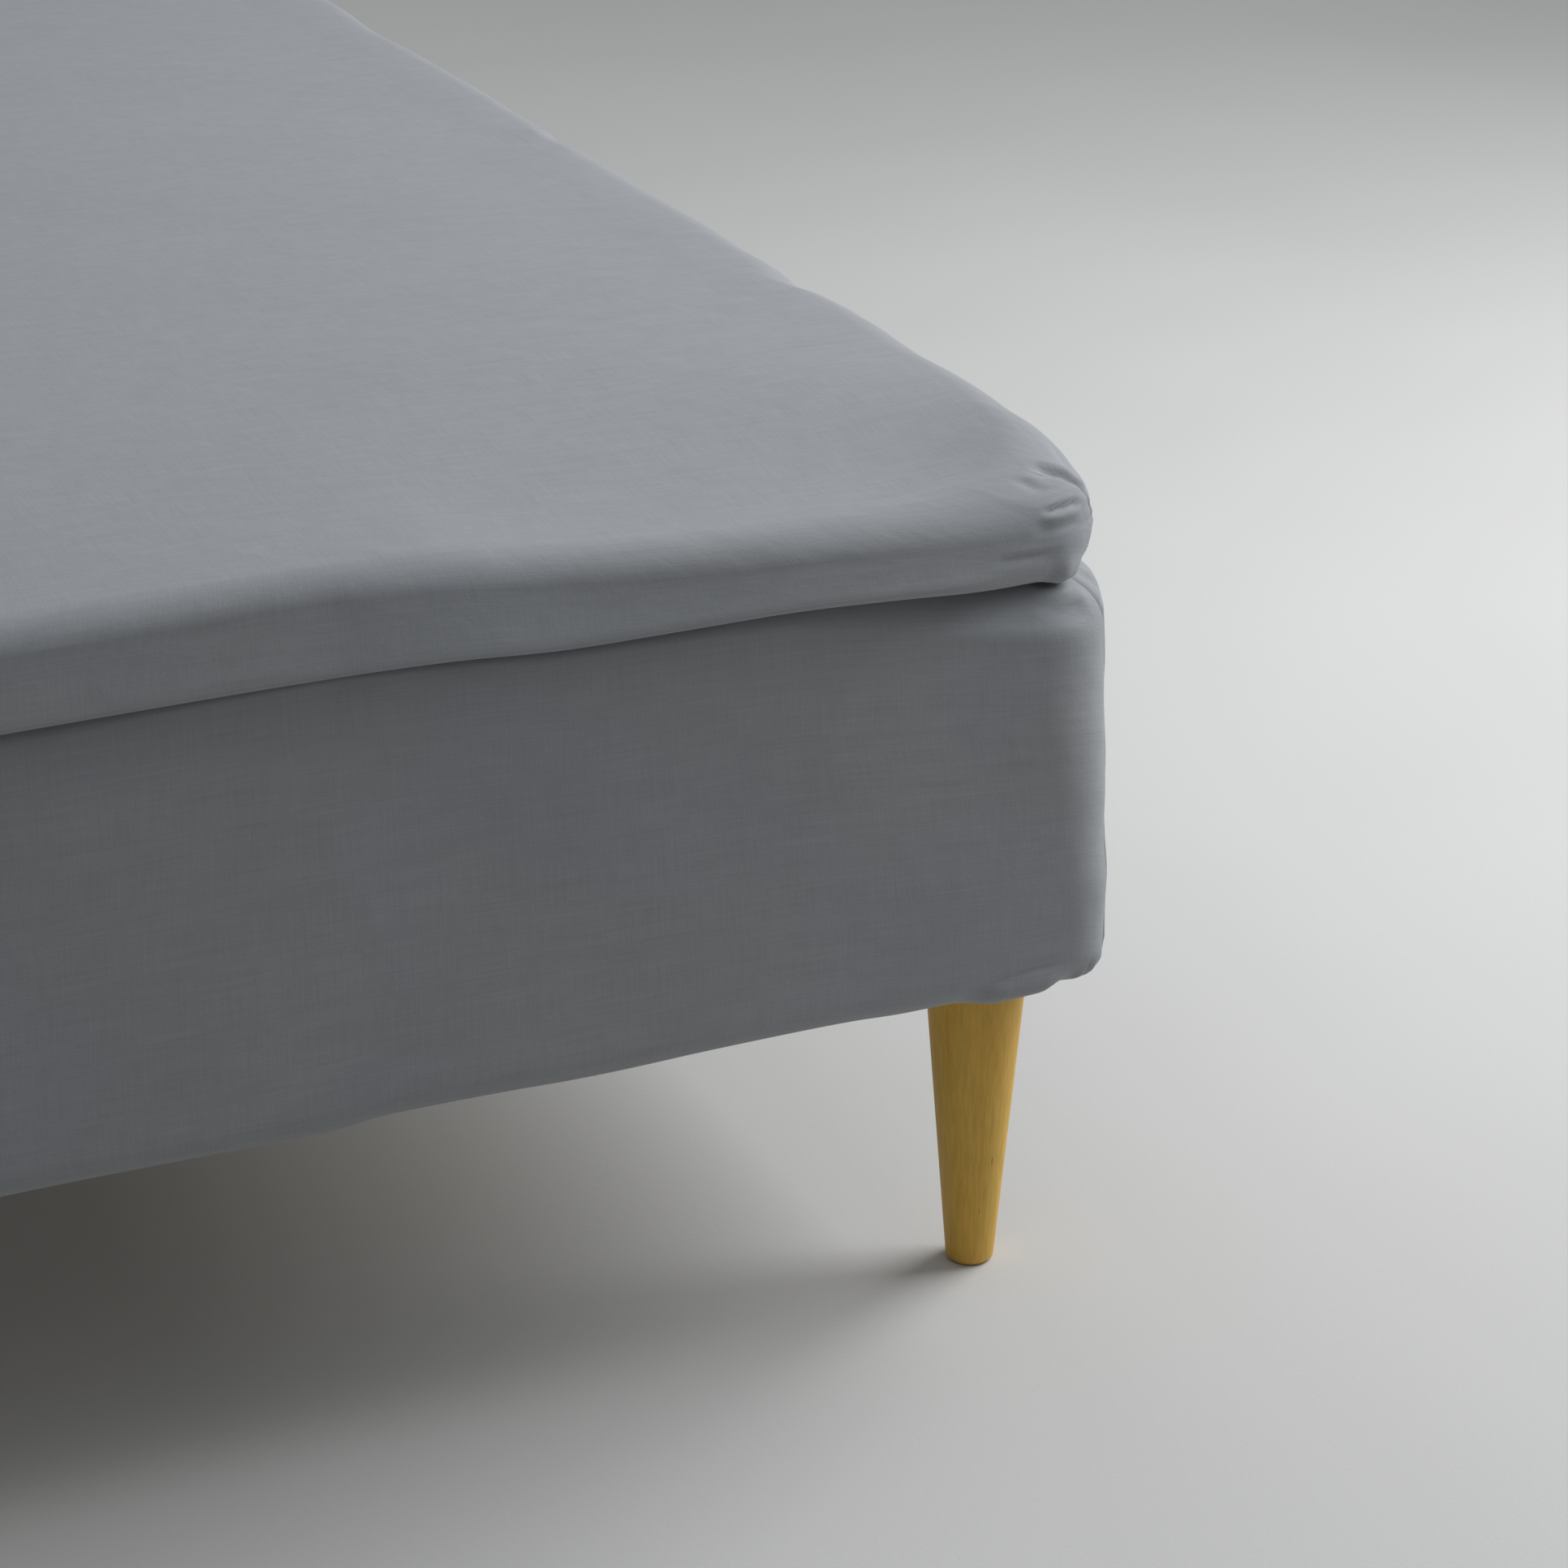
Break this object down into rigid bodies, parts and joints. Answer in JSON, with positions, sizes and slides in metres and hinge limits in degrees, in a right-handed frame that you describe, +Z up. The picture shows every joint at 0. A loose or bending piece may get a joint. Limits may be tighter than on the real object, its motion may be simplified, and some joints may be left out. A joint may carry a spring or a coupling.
{
  "type": "fitted sheets on a box mattress bed with a topper",
  "caption": "Fitted cotton sheets stretched over a box mattress and over the foam topper on it, on a single bed with tapered round wooden legs.",
  "frame": {"origin": "centre of the bed's footprint, on the floor under the legs", "axes": "+X across the bed, to the right seen from the foot end; +Y along the bed towards the head end; +Z up"},
  "size_m": [0.9, 2.028, 0.5173],
  "materials": {
    "sheet_cotton": "plain-woven cotton, matt, cool mid grey",
    "foam": "off-white topper foam, matt",
    "ticking": "off-white mattress ticking, matt",
    "leg_wood": "golden oak with a satin lacquer"
  },
  "bodies": {
    "root": {"box_mattress": "ticking", "box_sheet": "sheet_cotton", "topper": "foam", "topper_sheet": "sheet_cotton", "leg_foot_right": "leg_wood", "leg_head_right": "leg_wood", "leg_head_left": "leg_wood", "leg_foot_left": "leg_wood"}
  },
  "joints": []
}
